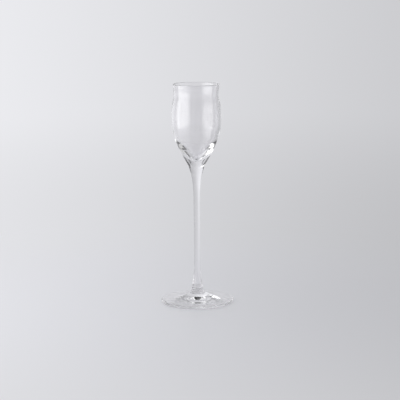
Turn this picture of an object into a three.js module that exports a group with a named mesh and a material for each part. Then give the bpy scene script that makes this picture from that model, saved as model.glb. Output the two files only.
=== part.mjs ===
// Grappa glass: a small tulip bowl on a slim drawn stem and a wide foot, all of clear glass.
// It is made the way stemware with an applied stem is made: three gathers of glass, fused end to end.
// Millimetres, +Z up. The origin is the centre of the ring on which the foot stands.

import * as THREE from "three";

// Foot
const footRadius = 34.1;
const footHeight = 11; // from the table to the seam with the stem
const footEdgeThickness = 2.3;
const restRingWidth = 1.5; // the flat ring under the edge, which touches the table
const recessDepth = 2; // the shallow dome inside that ring
const ankleRadius = 5.2; // the seam of stem and foot
const footShoulderRun = 3; // how far out the foot falls away steeply beside the stem
const footShoulderDrop = 6;
const footPlateReach = 10; // how far in from its edge the foot keeps its gentle slope
const footPlateRise = 1.2; // what it climbs over that reach

// Stem
const ankleLength = 25; // the flare above the foot
const ankleTaper = 0.15; // radius lost per millimetre of height at the foot
const stemLowRadius = 2.75;
const shaftLength = 52;
const stemHighRadius = 3;
const throatLength = 39; // the flare below the bowl
const collarRadius = 6.95; // the seam of stem and bowl
const collarFlare = 0.32; // radius gained per millimetre of height at that seam

// Bowl, outside: heights from the seam to the belly, from there to the neck and on to the rim
const bellyRise = 45;
const bellyRadius = 23.15;
const neckRise = 22.5;
const neckRadius = 20.8;
const lipRise = 10.5;
const rimRadius = 21.75;
const lipFlare = 0.12; // radius gained per millimetre of height at the rim

// Bowl, inside: the wall thickens from the rim to a knee, below which the cup closes over a solid base
const baseThickness = 8.2;
const kneeRise = 28.3; // height of the knee above the seam
const kneeSlope = 0.3; // radius gained per millimetre of height at the knee
const kneeWall = 2.5;
const bellyWall = 2.2;
const neckWall = 1.5;
const rimWall = 1.3;

// Roundness of each curve: how far it keeps the direction of its lower and of its upper end,
// as a share of the height that it climbs
const anklePull = [0.3, 0.4];
const shaftPull = [0.3, 0.3];
const throatPull = [0.7, 0.18];
const bellyPull = [0.15, 0.48];
const shoulderPull = [0.7, 0.15];
const lipPull = [0.5, 0.5];
const cupPull = [0.4, 0.45]; // inside, from the knee to the belly
const kneePull = 0.29; // below the knee, down to the cup's bottom
const cupFloorPull = 0.27; // share of the knee's radius over which the cup's bottom stays level
const recessPull = 0.3; // share of the recess over which its middle stays level

// Surface roughness of the blown bowl, the drawn stem and the spun foot
const bowlRoughness = 0.02;
const stemRoughness = 0.03;
const footRoughness = 0.04;

// Fineness of the facets
const turnSteps = 48;
const longSteps = 13;
const middleSteps = 9;
const shortSteps = 4;
const roundSteps = 8;

const halvings = 40; // of an interval, until its ends agree

// A point of an outline: its radius, its height and the radius it gains per millimetre of height.
function station(radius, height, slope = 0) {
  return { radius, height, slope };
}

// A smooth stretch of outline that climbs from one station to another.
function climb(low, high, [lowPull, highPull]) {
  const rise = high.height - low.height;
  return new THREE.CubicBezierCurve(
    new THREE.Vector2(low.radius, low.height),
    new THREE.Vector2(low.radius + low.slope * lowPull * rise, low.height + lowPull * rise),
    new THREE.Vector2(high.radius - high.slope * highPull * rise, high.height - highPull * rise),
    new THREE.Vector2(high.radius, high.height),
  );
}

// The radius of a climbing stretch at a height, found by halving.
function radiusAt(curve, height) {
  let below = 0;
  let above = 1;
  for (let i = 0; i < halvings; i += 1) {
    const middle = (below + above) / 2;
    if (curve.getPoint(middle).y < height) {
      below = middle;
    } else {
      above = middle;
    }
  }
  return curve.getPoint(below).x;
}

// Half a turn of round edge, from one side of a wall over its end to the other.
function roundEdge(centreRadius, centreHeight, wall, startAngle) {
  const radius = wall / 2;
  const endAngle = startAngle + Math.PI;
  return new THREE.EllipseCurve(centreRadius, centreHeight, radius, radius, startAngle, endAngle);
}

// A point on the axis, where an outline starts or ends.
function onAxis(height) {
  return new THREE.Vector2(0, height);
}

// Points along a chain of curves, each given with its number of steps.
function pointsAlong(...chain) {
  const start = chain[0][0].getPoint(0);
  const rest = chain.flatMap(([curve, steps]) => curve.getPoints(steps).slice(1));
  return [start, ...rest];
}

// A solid turned about the Z axis from an outline that starts and ends on that axis.
function turned(name, outline, material) {
  const geometry = new THREE.LatheGeometry(outline, turnSteps).rotateX(Math.PI / 2);
  const mesh = new THREE.Mesh(geometry, material);
  mesh.name = name;
  return mesh;
}

// Clear, almost colourless glass.
function clearGlass(roughness) {
  return new THREE.MeshStandardMaterial({
    color: 0xeef2f2,
    roughness,
    metalness: 0,
    transparent: true,
    opacity: 0.35,
  });
}

// Foot: domed underneath, flat where it rests, round at the edge, and a low hollow cone on top.
function foot() {
  const edgeRadius = footEdgeThickness / 2;
  const ringOuterRadius = footRadius - edgeRadius;
  const ringInnerRadius = ringOuterRadius - restRingWidth;
  const recess = new THREE.QuadraticBezierCurve(
    onAxis(recessDepth),
    new THREE.Vector2(ringInnerRadius * recessPull, recessDepth),
    new THREE.Vector2(ringInnerRadius, 0),
  );
  const ring = new THREE.LineCurve(
    new THREE.Vector2(ringInnerRadius, 0),
    new THREE.Vector2(ringOuterRadius, 0),
  );
  const edge = roundEdge(ringOuterRadius, edgeRadius, footEdgeThickness, -Math.PI / 2);
  const top = new THREE.CubicBezierCurve(
    new THREE.Vector2(ringOuterRadius, footEdgeThickness),
    new THREE.Vector2(ringOuterRadius - footPlateReach, footEdgeThickness + footPlateRise),
    new THREE.Vector2(ankleRadius + footShoulderRun, footHeight - footShoulderDrop),
    new THREE.Vector2(ankleRadius, footHeight),
  );
  const outline = pointsAlong([recess, middleSteps], [ring, 1], [edge, roundSteps], [top, longSteps]);
  return turned("foot", [...outline, onAxis(footHeight)], clearGlass(footRoughness));
}

// Stem: a slim shaft that flares into the foot and, more widely, into the bowl.
function stem() {
  const ankle = station(ankleRadius, 0, -ankleTaper);
  const shaftLow = station(stemLowRadius, ankleLength);
  const shaftHigh = station(stemHighRadius, ankleLength + shaftLength);
  const collar = station(collarRadius, shaftHigh.height + throatLength, collarFlare);
  const outline = pointsAlong(
    [climb(ankle, shaftLow, anklePull), middleSteps],
    [climb(shaftLow, shaftHigh, shaftPull), shortSteps],
    [climb(shaftHigh, collar, throatPull), longSteps],
  );
  const ends = [onAxis(0), ...outline, onAxis(collar.height)];
  const mesh = turned("stem", ends, clearGlass(stemRoughness));
  mesh.position.z = footHeight;
  return mesh;
}

// Bowl: an outside that swells from the stem and draws in below a lightly flared lip,
// an inside that follows it down to the knee and then closes to a round point,
// and a round fire-polished rim.
function bowl() {
  const lipTop = bellyRise + neckRise + lipRise - rimWall / 2;
  const collar = station(collarRadius, 0, collarFlare);
  const belly = station(bellyRadius, bellyRise);
  const neck = station(neckRadius, bellyRise + neckRise);
  const lip = station(rimRadius, lipTop, lipFlare);
  const swell = climb(collar, belly, bellyPull);
  const outside = pointsAlong(
    [swell, longSteps],
    [climb(belly, neck, shoulderPull), middleSteps],
    [climb(neck, lip, lipPull), middleSteps],
    [roundEdge(rimRadius - rimWall / 2, lipTop, rimWall, 0), roundSteps],
  );

  const knee = station(radiusAt(swell, kneeRise) - kneeWall, kneeRise, kneeSlope);
  const bellyInside = station(bellyRadius - bellyWall, bellyRise);
  const neckInside = station(neckRadius - neckWall, neck.height);
  const lipInside = station(rimRadius - rimWall, lipTop, lipFlare);
  const kneeDrop = (kneeRise - baseThickness) * kneePull;
  const bottom = new THREE.CubicBezierCurve(
    onAxis(baseThickness),
    new THREE.Vector2(knee.radius * cupFloorPull, baseThickness),
    new THREE.Vector2(knee.radius - kneeSlope * kneeDrop, kneeRise - kneeDrop),
    new THREE.Vector2(knee.radius, kneeRise),
  );
  const inside = pointsAlong(
    [bottom, longSteps],
    [climb(knee, bellyInside, cupPull), middleSteps],
    [climb(bellyInside, neckInside, shoulderPull), middleSteps],
    [climb(neckInside, lipInside, lipPull), middleSteps],
  );

  const downInside = inside.reverse().slice(1);
  const mesh = turned("bowl", [onAxis(0), ...outside, ...downInside], clearGlass(bowlRoughness));
  mesh.position.z = footHeight + ankleLength + shaftLength + throatLength;
  return mesh;
}

const glass = new THREE.Group();
glass.add(foot(), stem(), bowl());

export default glass;
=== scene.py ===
# Looks of the grappa glass: foot, stem and bowl rebuilt smooth from the outlines of the solids,
# in clear glass, on a pale studio sweep between two large soft lights.

import math
import bpy
import numpy as np
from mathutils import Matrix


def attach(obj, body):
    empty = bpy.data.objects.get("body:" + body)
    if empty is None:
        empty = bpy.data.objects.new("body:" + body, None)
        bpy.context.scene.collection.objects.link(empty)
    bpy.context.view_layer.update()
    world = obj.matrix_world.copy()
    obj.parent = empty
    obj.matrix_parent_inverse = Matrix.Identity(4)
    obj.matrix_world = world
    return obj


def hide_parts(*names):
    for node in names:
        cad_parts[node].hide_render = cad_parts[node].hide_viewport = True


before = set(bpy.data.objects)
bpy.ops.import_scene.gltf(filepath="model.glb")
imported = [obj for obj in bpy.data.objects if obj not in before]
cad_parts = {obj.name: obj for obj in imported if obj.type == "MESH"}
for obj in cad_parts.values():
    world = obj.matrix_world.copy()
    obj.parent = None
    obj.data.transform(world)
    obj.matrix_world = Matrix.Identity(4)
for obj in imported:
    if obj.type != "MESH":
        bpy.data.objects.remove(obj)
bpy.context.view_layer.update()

# Meshes, in metres
OUTLINE_STEP = 0.0007
OUTLINE_DIGITS = 7  # decimals to which the points of an outline are rounded
TURN_STEPS = {"bowl": 192, "stem": 96, "foot": 192}
CORNER_TURN = math.radians(40)  # an outline that turns more at a point has a corner there
ON_PLANE = 1e-6

# Glass
GLASS_TINT = (0.984, 0.98, 0.988, 1.0)
GLASS_IOR = 1.52
BOUNCES = 128  # light runs far inside the walls before it leaves them

# Finish of each piece: faint waves per metre, drawn out along an axis, and a slight haze.
# The bowl's thick base is clear, and its haze has set in at the height where its wall is thin.
FINISHES = {
    "bowl": dict(stretch=(1.0, 1.0, 0.35), waves=60.0, wave_height=0.00003, haze=0.09, hazy_from=0.16),
    "stem": dict(stretch=(1.0, 1.0, 0.1), waves=200.0, wave_height=0.00001, haze=0.04, hazy_from=0.0),
    "foot": dict(stretch=(1.0, 1.0, 1.0), waves=120.0, wave_height=0.0001, haze=0.03, hazy_from=0.0),
}
HAZE_PATCHES = 90.0  # per metre
HAZE_LEAST = 0.6  # share of the haze in the clearest patches
HAZE_FADE = 0.012  # height over which the haze sets in

# Camera, found from the ellipses of rim and foot in the photograph
CAMERA_PLACE = (0.0030, -1.220, 0.308)
CAMERA_PITCH = math.radians(9.84)
CAMERA_ROLL = math.radians(-0.36)
CAMERA_LENS = 119.25

# Sweep: a pale table that curves up into a round wall
FLOOR_DROP = 0.0001  # gap between the table and the foot
FLOOR_RADIUS = 1.7
SWEEP_RADIUS = 1.1
WALL_HEIGHT = 3.0
FLOOR_RINGS = 8
BEND_RINGS = 24
SWEEP_STEPS = 96

# Paper of the sweep, with painted light: lighter towards the left, and a little lighter far away
PAPER_TINT = (0.994, 0.998, 1.034)
PAPER_LEVEL = 0.652
PAINTED_SIDE_LIGHT_GAIN = 0.32
PAINTED_SIDE_LIGHT_REACH = 0.25  # how far aside the gain is felt near the glass
PAINTED_SIDE_LIGHT_SPREAD = 0.333  # how much wider it reaches per metre of distance
PAINTED_FAR_LIGHT_GAIN = 0.108
PAINTED_FAR_LIGHT = (0.3, 1.8)  # distances between which the far gain sets in
TABLE_GLOW = 0.42  # share of the table's tone near the glass that takes no shadow
TABLE_MATT = (0.1, 0.4)  # distances between which that share grows to the whole
TABLE_ROUGHNESS = 0.3

# Painted reflections: how bright table and room look in reflections, by degrees to the right of straight
# behind the glass.
# The table's bright stretches are painted pools of light beside the lamps; the room's bright stretches are
# painted windows, and its zeros painted dark gaps.
PAINTED_TABLE_REFLECTIONS = [
    (-180, 0.18), (-150, 0.55), (-125, 1.75), (-95, 2.0), (-65, 0.62), (-28, 0.82),
    (18, 0.58), (32, 0.52), (60, 0.52), (110, 1.9), (150, 0.2), (180, 0.18)]
PAINTED_ROOM_REFLECTIONS = [
    (-180, 0.18), (-70, 0.0), (-38, 0.85), (-20, 0.82), (45, 0.46), (56, 0.35),
    (65, 0.0), (75, 0.0), (85, 0.34), (110, 0.38), (130, 0.0)]
TABLE_TURNS = (0.08, 0.7)  # distances between which these tones set in
ROOM_TURNS = (0.0, 1.1)  # heights between which the room's take over from the table's

# Soft lights at both sides: how far aside, from where to where along the depth, how high, how strong,
# and how wide their near, far and upper edges fade
LEFT_LIGHT = dict(
    aside=-0.52, near=-1.3, far=0.15, low=0.01, high=0.75, strength=2.65, fades=(1.0, 0.08, 0.55))
RIGHT_LIGHT = dict(
    aside=0.6, near=-1.5, far=0.1, low=0.01, high=0.6, strength=0.65, fades=(0.8, 0.1, 0.35))

# Room above the sweep
ROOM_FILL = 1.39  # as light on the table
ROOM_DARK = 0.03  # as seen in the glass

WHITE = (1.0, 1.0, 1.0, 1.0)  # light without a tint


# Outlines of the solids

def outline_of(node):
    """Points (radius, height) of a turned node, from its lower point on the axis to its upper one."""
    mesh = node.data
    on_plane = {}
    for vertex in mesh.vertices:
        x, y, z = vertex.co
        if abs(y) < ON_PLANE and x > -ON_PLANE:
            on_plane[vertex.index] = (round(max(x, 0.0), OUTLINE_DIGITS), round(z, OUTLINE_DIGITS))
    links = {}
    for edge in mesh.edges:
        a, b = (on_plane.get(index) for index in edge.vertices)
        if a and b and a != b:
            links.setdefault(a, set()).add(b)
            links.setdefault(b, set()).add(a)
    ends = [point for point, near in links.items() if len(near) == 1]
    walk = [min(ends, key=lambda point: point[1])]
    while True:
        onward = links[walk[-1]] - set(walk[-2:])
        if not onward:
            return np.array(walk)
        walk.append(onward.pop())


def corners_of(points):
    """Indices of an outline's sharp corners and of the ends of its level stretches and of itself."""
    steps = np.diff(points, axis=0)
    headings = np.arctan2(steps[:, 1], steps[:, 0])
    turns = np.abs((np.diff(headings) + math.pi) % (2 * math.pi) - math.pi)
    sharp = {i + 1 for i in np.flatnonzero(turns > CORNER_TURN)}
    level = {end for i in np.flatnonzero(steps[:, 1] == 0.0) for end in (i, i + 1)}
    return sorted({0, len(points) - 1} | sharp | level)


def tangents_of(run):
    """Direction per unit of length at each point of a smooth run. A run meets the axis square."""
    steps = np.diff(run, axis=0)
    lengths = np.linalg.norm(steps, axis=1)[:, None]
    slopes = steps / lengths
    inner = (slopes[:-1] * lengths[1:] + slopes[1:] * lengths[:-1]) / (lengths[:-1] + lengths[1:])
    first = slopes[0] if len(run) == 2 else 2 * slopes[0] - inner[0]
    last = slopes[-1] if len(run) == 2 else 2 * slopes[-1] - inner[-1]
    if run[0][0] == 0.0:
        first = np.array([1.0, 0.0])
    if run[-1][0] == 0.0:
        last = np.array([-1.0, 0.0])
    return np.vstack([first, inner, last])


def smooth_run(run):
    """A run of an outline as a fine row of points on smooth curves through the given ones."""
    tangents = tangents_of(run)
    fine = [run[0]]
    for i in range(len(run) - 1):
        length = np.linalg.norm(run[i + 1] - run[i])
        count = max(2, round(length / OUTLINE_STEP))
        for t in np.arange(1, count + 1) / count:
            fine.append(
                (2 * t**3 - 3 * t**2 + 1) * run[i]
                + (t**3 - 2 * t**2 + t) * length * tangents[i]
                + (3 * t**2 - 2 * t**3) * run[i + 1]
                + (t**3 - t**2) * length * tangents[i + 1]
            )
    return np.clip(fine, run.min(axis=0), run.max(axis=0))


def is_seam(run):
    """True for a flat run between the axis and a corner, where two pieces are fused."""
    return len(run) == 2 and run[0][1] == run[1][1] and min(run[0][0], run[1][0]) == 0.0


def fine_profile(points):
    """Fine points of an outline, the rows at which fused seams start, and the rows at corners."""
    corners = corners_of(points)
    profile, seam_rows, sharp_rows = [points[0]], set(), set()
    for start, end in zip(corners, corners[1:]):
        run = points[start:end + 1]
        if is_seam(run):
            seam_rows.add(len(profile) - 1)
            profile.append(run[1])
        else:
            profile.extend(smooth_run(run)[1:])
        sharp_rows.add(len(profile) - 1)
    return profile, seam_rows, sharp_rows


# Turned meshes

def rings_of(profile, count):
    """Vertices of a profile turned about the axis, and a ring of their indices for each of its points."""
    angles = 2 * math.pi * np.arange(count) / count
    around = np.column_stack([np.cos(angles), np.sin(angles)])
    vertices, rings = [], []
    for radius, height in profile:
        first = len(vertices)
        if radius < ON_PLANE:
            vertices.append((0.0, 0.0, height))
            rings.append([first] * count)
        else:
            vertices.extend((radius * x, radius * y, height) for x, y in around)
            rings.append(list(range(first, first + count)))
    return vertices, rings


def faces_between(low, high):
    """Faces between two rings, which are triangles where one ring is a point on the axis."""
    faces = []
    for i in range(len(low)):
        j = (i + 1) % len(low)
        faces.append(list(dict.fromkeys([low[i], low[j], high[j], high[i]])))
    return faces


def turned_mesh(name, profile, seam_rows, sharp_rows):
    """A closed smooth mesh, sharp at its corners, whose fused seams take the second material."""
    count = TURN_STEPS[name]
    vertices, rings = rings_of(profile, count)
    faces, seam_faces = [], []
    for row, (low, high) in enumerate(zip(rings, rings[1:])):
        faces.extend(faces_between(low, high))
        seam_faces.extend([row in seam_rows] * count)
    mesh = bpy.data.meshes.new(name + "_glass")
    mesh.from_pydata(vertices, [], faces)
    mesh.shade_smooth()
    mesh.polygons.foreach_set("material_index", np.array(seam_faces, dtype=np.int32))
    corners = {index for row in sharp_rows for index in rings[row]}
    sharp = mesh.attributes.new("sharp_edge", "BOOLEAN", "EDGE")
    for edge in mesh.edges:
        sharp.data[edge.index].value = set(edge.vertices) <= corners
    mesh.update()
    return mesh


def turned_piece(name):
    """A piece turned from the outline of the node of that name, and standing for it."""
    mesh = turned_mesh(name, *fine_profile(outline_of(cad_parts[name])))
    piece = bpy.data.objects.new(name + "_glass", mesh)
    bpy.context.scene.collection.objects.link(piece)
    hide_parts(name)
    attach(piece, "root")
    return piece


# Nodes of materials

class Nodes:
    """A new node tree to which nodes are added by type, with values and links for their inputs.
    An input goes by its label, or by its number after an underscore."""

    def __init__(self, owner):
        owner.use_nodes = True
        self.tree = owner.node_tree
        self.tree.nodes.clear()

    def add(self, kind, settings=None, **inputs):
        node = self.tree.nodes.new(kind)
        for key, value in (settings or {}).items():
            setattr(node, key, value)
        for key, value in inputs.items():
            socket = node.inputs[int(key[1:])] if key[0] == "_" else node.inputs[key.replace("_", " ")]
            if isinstance(value, bpy.types.NodeSocket):
                self.tree.links.new(value, socket)
            else:
                socket.default_value = value
        return node


def new_material(name):
    """A new material and its empty node tree."""
    material = bpy.data.materials.new(name)
    return material, Nodes(material)


def math_node(nodes, operation, *values):
    """Result of a calculation with numbers or outputs of other nodes."""
    inputs = {f"_{i}": value for i, value in enumerate(values)}
    return nodes.add("ShaderNodeMath", {"operation": operation}, **inputs).outputs["Value"]


def ramp(nodes, value, start, end, low=0.0, high=1.0):
    """A smooth step from low to high while the value goes from start to end."""
    step = nodes.add(
        "ShaderNodeMapRange", {"interpolation_type": "SMOOTHSTEP"},
        Value=value, From_Min=start, From_Max=end, To_Min=low, To_Max=high)
    return step.outputs["Result"]


def mix_values(nodes, share, low, high):
    """low where the share is 0, high where it is 1."""
    span = math_node(nodes, "SUBTRACT", high, low)
    return math_node(nodes, "MULTIPLY_ADD", span, share, low)


def tone_ramp(nodes, value, stops):
    """Grey tones by a turn from 0 to 1, from a list of (degrees, tone)."""
    node = nodes.add("ShaderNodeValToRGB", Fac=value)
    elements = node.color_ramp.elements
    while len(elements) < len(stops):
        elements.new(0.5)
    for element, (angle, tone) in zip(elements, stops):
        element.position = angle / 360 + 0.5
        element.color = (tone, tone, tone, 1.0)
    return node.outputs["Color"]


def seen_straight(nodes):
    """1 for a straight look, also through clear glass, and 0 in reflections and for light on the table."""
    path = nodes.add("ShaderNodeLightPath").outputs
    turns = math_node(nodes, "ADD", path["Glossy Depth"], path["Diffuse Depth"])
    return math_node(nodes, "LESS_THAN", turns, 1.0)


# Materials

def clear_glass(name, stretch, waves, wave_height, haze, hazy_from):
    """Clear glass with faint waves from its making and a slight, patchy haze above a height."""
    material, nodes = new_material(name)
    place = nodes.add("ShaderNodeTexCoord").outputs["Object"]
    drawn = nodes.add("ShaderNodeMapping", Vector=place, Scale=stretch).outputs["Vector"]
    swell = nodes.add("ShaderNodeTexNoise", Vector=drawn, Scale=waves, Detail=1.0)
    bump = nodes.add("ShaderNodeBump", Height=swell.outputs["Fac"], Strength=1.0, Distance=wave_height)
    patches = nodes.add("ShaderNodeTexNoise", Vector=place, Scale=HAZE_PATCHES)
    rough = ramp(nodes, patches.outputs["Fac"], 0.0, 1.0, HAZE_LEAST * haze, haze)
    height = nodes.add("ShaderNodeSeparateXYZ", Vector=place).outputs["Z"]
    rough = math_node(nodes, "MULTIPLY", rough, ramp(nodes, height, hazy_from - HAZE_FADE, hazy_from))
    surface = nodes.add(
        "ShaderNodeBsdfPrincipled", Base_Color=GLASS_TINT, Roughness=rough,
        IOR=GLASS_IOR, Transmission_Weight=1.0, Normal=bump.outputs["Normal"])
    nodes.add("ShaderNodeOutputMaterial", Surface=surface.outputs["BSDF"])
    return material


def fused_seam():
    """The inside of a fused joint, which light crosses as if it were not there."""
    material, nodes = new_material("fused_seam")
    surface = nodes.add("ShaderNodeBsdfTransparent", Color=WHITE)
    nodes.add("ShaderNodeOutputMaterial", Surface=surface.outputs["BSDF"])
    return material


def paper_with_painted_light():
    """Pale sweep with painted light, lighter towards the left and a little lighter far away. In
    reflections its far parts show painted reflections of a room with windows and of pools of light on the
    table.
    """
    material, nodes = new_material("paper_with_painted_light")
    place = nodes.add("ShaderNodeTexCoord").outputs["Object"]
    axes = nodes.add("ShaderNodeSeparateXYZ", Vector=place).outputs
    reach = nodes.add("ShaderNodeVectorMath", {"operation": "LENGTH"}, _0=place).outputs["Value"]
    # Painted light: the paper is lighter towards the left, as if lit from that side, over a width that
    # grows with distance
    span = math_node(nodes, "MULTIPLY_ADD", reach, PAINTED_SIDE_LIGHT_SPREAD, PAINTED_SIDE_LIGHT_REACH)
    side = math_node(nodes, "TANH", math_node(nodes, "DIVIDE", axes["X"], span))
    painted_side_level = math_node(nodes, "MULTIPLY_ADD", side, -PAINTED_SIDE_LIGHT_GAIN * PAPER_LEVEL, PAPER_LEVEL)
    # A turn from 0 to 1, which is half done straight behind the glass
    turn = math_node(nodes, "ARCTAN2", axes["X"], axes["Y"])
    turn = math_node(nodes, "MULTIPLY_ADD", turn, 0.5 / math.pi, 0.5)
    # Painted reflections of table and room, with painted pools of light, windows and dark gaps
    table = tone_ramp(nodes, turn, PAINTED_TABLE_REFLECTIONS)
    room = tone_ramp(nodes, turn, PAINTED_ROOM_REFLECTIONS)
    around = mix_values(nodes, ramp(nodes, axes["Z"], *ROOM_TURNS), table, room)
    reflected = mix_values(nodes, ramp(nodes, reach, *TABLE_TURNS), painted_side_level, around)
    level = mix_values(nodes, seen_straight(nodes), reflected, painted_side_level)
    # Painted light: the paper is a little lighter far away
    far = ramp(nodes, reach, *PAINTED_FAR_LIGHT, 1.0, 1.0 + PAINTED_FAR_LIGHT_GAIN)
    level = math_node(nodes, "MULTIPLY", level, far)
    glow = nodes.add("ShaderNodeEmission", Color=(*PAPER_TINT, 1.0), Strength=level)
    # The paper's own colour carries the same painted side light
    colour = nodes.add("ShaderNodeVectorMath", {"operation": "SCALE"}, _0=PAPER_TINT, Scale=painted_side_level)
    paper = nodes.add(
        "ShaderNodeBsdfPrincipled", Base_Color=colour.outputs["Vector"], Roughness=TABLE_ROUGHNESS)
    share = ramp(nodes, reach, *TABLE_MATT, TABLE_GLOW, 1.0)
    blend = nodes.add(
        "ShaderNodeMixShader", Fac=share, _1=paper.outputs["BSDF"], _2=glow.outputs["Emission"])
    nodes.add("ShaderNodeOutputMaterial", Surface=blend.outputs["Shader"])
    return material


def lamp_cloth(name, near, far, high, strength, fades):
    """Front of a soft light, which fades to its near, far and upper edges. Seen straight, it is clear."""
    material, nodes = new_material(name)
    place = nodes.add("ShaderNodeTexCoord").outputs["Object"]
    axes = nodes.add("ShaderNodeSeparateXYZ", Vector=place).outputs
    level = ramp(nodes, axes["Y"], near, near + fades[0], 0.0, strength)
    level = math_node(nodes, "MULTIPLY", level, ramp(nodes, axes["Y"], far, far - fades[1]))
    level = math_node(nodes, "MULTIPLY", level, ramp(nodes, axes["Z"], high, high - fades[2]))
    glow = nodes.add("ShaderNodeEmission", Color=WHITE, Strength=level)
    clear = nodes.add("ShaderNodeBsdfTransparent", Color=WHITE)
    front = nodes.add(
        "ShaderNodeMixShader", Fac=seen_straight(nodes),
        _1=glow.outputs["Emission"], _2=clear.outputs["BSDF"])
    nodes.add("ShaderNodeOutputMaterial", Surface=front.outputs["Shader"])
    return material


# Stage

def stage_mesh(name, vertices, faces, material):
    """A thing of the studio, which is no part of the glass."""
    mesh = bpy.data.meshes.new(name)
    mesh.from_pydata(vertices, [], faces)
    mesh.shade_smooth()
    mesh.materials.append(material)
    thing = bpy.data.objects.new(name, mesh)
    bpy.context.scene.collection.objects.link(thing)


def sweep():
    """Round floor that curves up into a wall on all sides."""
    rows = [(FLOOR_RADIUS * share, 0.0) for share in np.linspace(0.0, 1.0, FLOOR_RINGS + 1)]
    for bend in np.linspace(0.0, math.pi / 2, BEND_RINGS + 1)[1:]:
        rows.append((FLOOR_RADIUS + SWEEP_RADIUS * math.sin(bend), SWEEP_RADIUS * (1 - math.cos(bend))))
    rows.append((FLOOR_RADIUS + SWEEP_RADIUS, WALL_HEIGHT))
    profile = [(radius, height - FLOOR_DROP) for radius, height in rows]
    vertices, rings = rings_of(profile, SWEEP_STEPS)
    faces = []
    for inner, outer in zip(rings, rings[1:]):
        faces.extend(faces_between(outer, inner))
    stage_mesh("sweep", vertices, faces, paper_with_painted_light())


def soft_light(name, aside, near, far, low, high, strength, fades):
    """Large upright soft light beside the glass."""
    corners = [(near, low), (far, low), (far, high), (near, high)]
    vertices = [(aside, y, z) for y, z in corners]
    cloth = lamp_cloth(name, near, far, high, strength, fades)
    stage_mesh(name, vertices, [(0, 1, 2, 3)], cloth)


def studio_air():
    """World: pale to the camera, an even fill for the table, and a dim room to the glass."""
    world = bpy.data.worlds.new("studio_air")
    bpy.context.scene.world = world
    nodes = Nodes(world)
    path = nodes.add("ShaderNodeLightPath").outputs
    from_table = math_node(nodes, "MINIMUM", path["Diffuse Depth"], 1.0)
    level = math_node(nodes, "MULTIPLY_ADD", from_table, ROOM_FILL - ROOM_DARK, ROOM_DARK)
    level = math_node(nodes, "MULTIPLY_ADD", path["Is Camera Ray"], 1.0 - ROOM_DARK, level)
    air = nodes.add("ShaderNodeBackground", Color=(*PAPER_TINT, 1.0), Strength=level)
    nodes.add("ShaderNodeOutputWorld", Surface=air.outputs["Background"])


def camera():
    """Camera at the photograph's view."""
    lens = bpy.data.cameras.new("camera")
    lens.lens = CAMERA_LENS
    eye = bpy.data.objects.new("camera", lens)
    bpy.context.scene.collection.objects.link(eye)
    eye.location = CAMERA_PLACE
    eye.rotation_mode = "ZYX"
    eye.rotation_euler = (math.pi / 2 - CAMERA_PITCH, 0.0, CAMERA_ROLL)
    bpy.context.scene.camera = eye


# The glass

seam = fused_seam()
for name, finish in FINISHES.items():
    piece = turned_piece(name)
    piece.data.materials.append(clear_glass(name + "_glass", **finish))
    piece.data.materials.append(seam)

# The studio

sweep()
soft_light("left_light", **LEFT_LIGHT)
soft_light("right_light", **RIGHT_LIGHT)
studio_air()
camera()

scene = bpy.context.scene
scene.view_settings.view_transform = "Standard"
scene.cycles.max_bounces = BOUNCES
scene.cycles.transmission_bounces = BOUNCES
scene.cycles.glossy_bounces = BOUNCES
scene.cycles.transparent_max_bounces = BOUNCES
